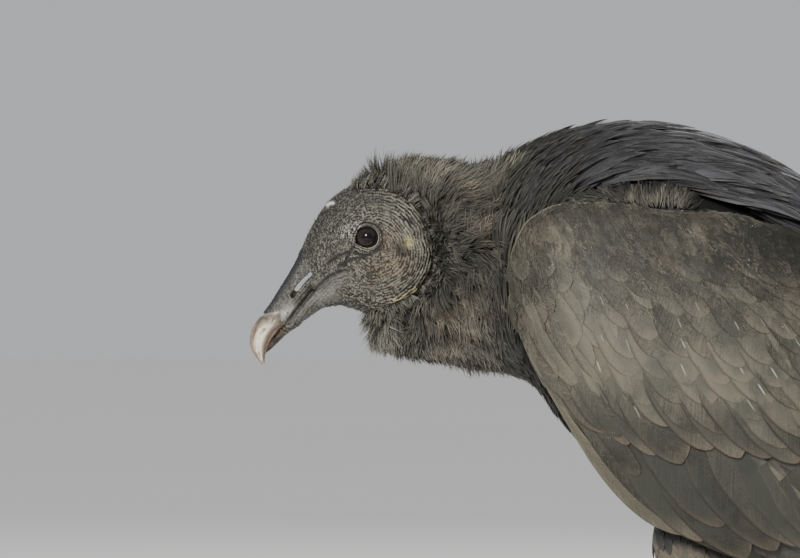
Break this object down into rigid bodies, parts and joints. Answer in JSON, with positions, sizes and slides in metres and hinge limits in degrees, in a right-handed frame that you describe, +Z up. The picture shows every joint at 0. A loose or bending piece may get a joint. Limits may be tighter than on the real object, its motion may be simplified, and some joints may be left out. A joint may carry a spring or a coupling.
{
  "type": "black vulture",
  "caption": "Life-size black vulture standing hunched with folded wings, its bare wrinkled grey head stretched forward and down and its hooked bill pale at the tip.",
  "frame": {"origin": "on the ground under the middle of the bird's overall box, midway between its feet from side to side", "axes": "+Z up; the bird faces -X, so its tail points to +X; its left side is -Y"},
  "size_m": [0.4656, 0.1816, 0.3764],
  "materials": {
    "bare_skin": "matt wrinkled grey skin",
    "horn": "satin horn, pale at the hooked tip and dark grey at the base",
    "eye": "wet and glossy, dark brown",
    "ruff": "short fluffy dark feathers",
    "plumage": "blue-black feathers with a soft gloss",
    "wing_feathers": "worn dark grey-brown feathers with a faint sheen",
    "flight_feathers": "stiff dark flight feathers",
    "leg_skin": "dry greyish-white scales",
    "claw": "satin dark horn"
  },
  "bodies": {
    "root": {"head": "bare_skin", "upper_bill": "horn", "lower_bill": "horn", "eye_left": "eye", "eye_right": "eye", "neck": "ruff", "trunk": "plumage", "tail": "flight_feathers", "wing_coverts_left": "wing_feathers", "wing_coverts_right": "wing_feathers", "secondaries_left": "wing_feathers", "secondaries_right": "wing_feathers", "primaries_left": "flight_feathers", "primaries_right": "flight_feathers", "thigh_left": "plumage", "thigh_right": "plumage", "tarsus_left": "leg_skin", "tarsus_right": "leg_skin", "toe_middle_left": "leg_skin", "toe_inner_left": "leg_skin", "toe_outer_left": "leg_skin", "toe_hind_left": "leg_skin", "toe_middle_right": "leg_skin", "toe_inner_right": "leg_skin", "toe_outer_right": "leg_skin", "toe_hind_right": "leg_skin", "claw_middle_left": "claw", "claw_inner_left": "claw", "claw_outer_left": "claw", "claw_hind_left": "claw", "claw_middle_right": "claw", "claw_inner_right": "claw", "claw_outer_right": "claw", "claw_hind_right": "claw"}
  },
  "joints": []
}
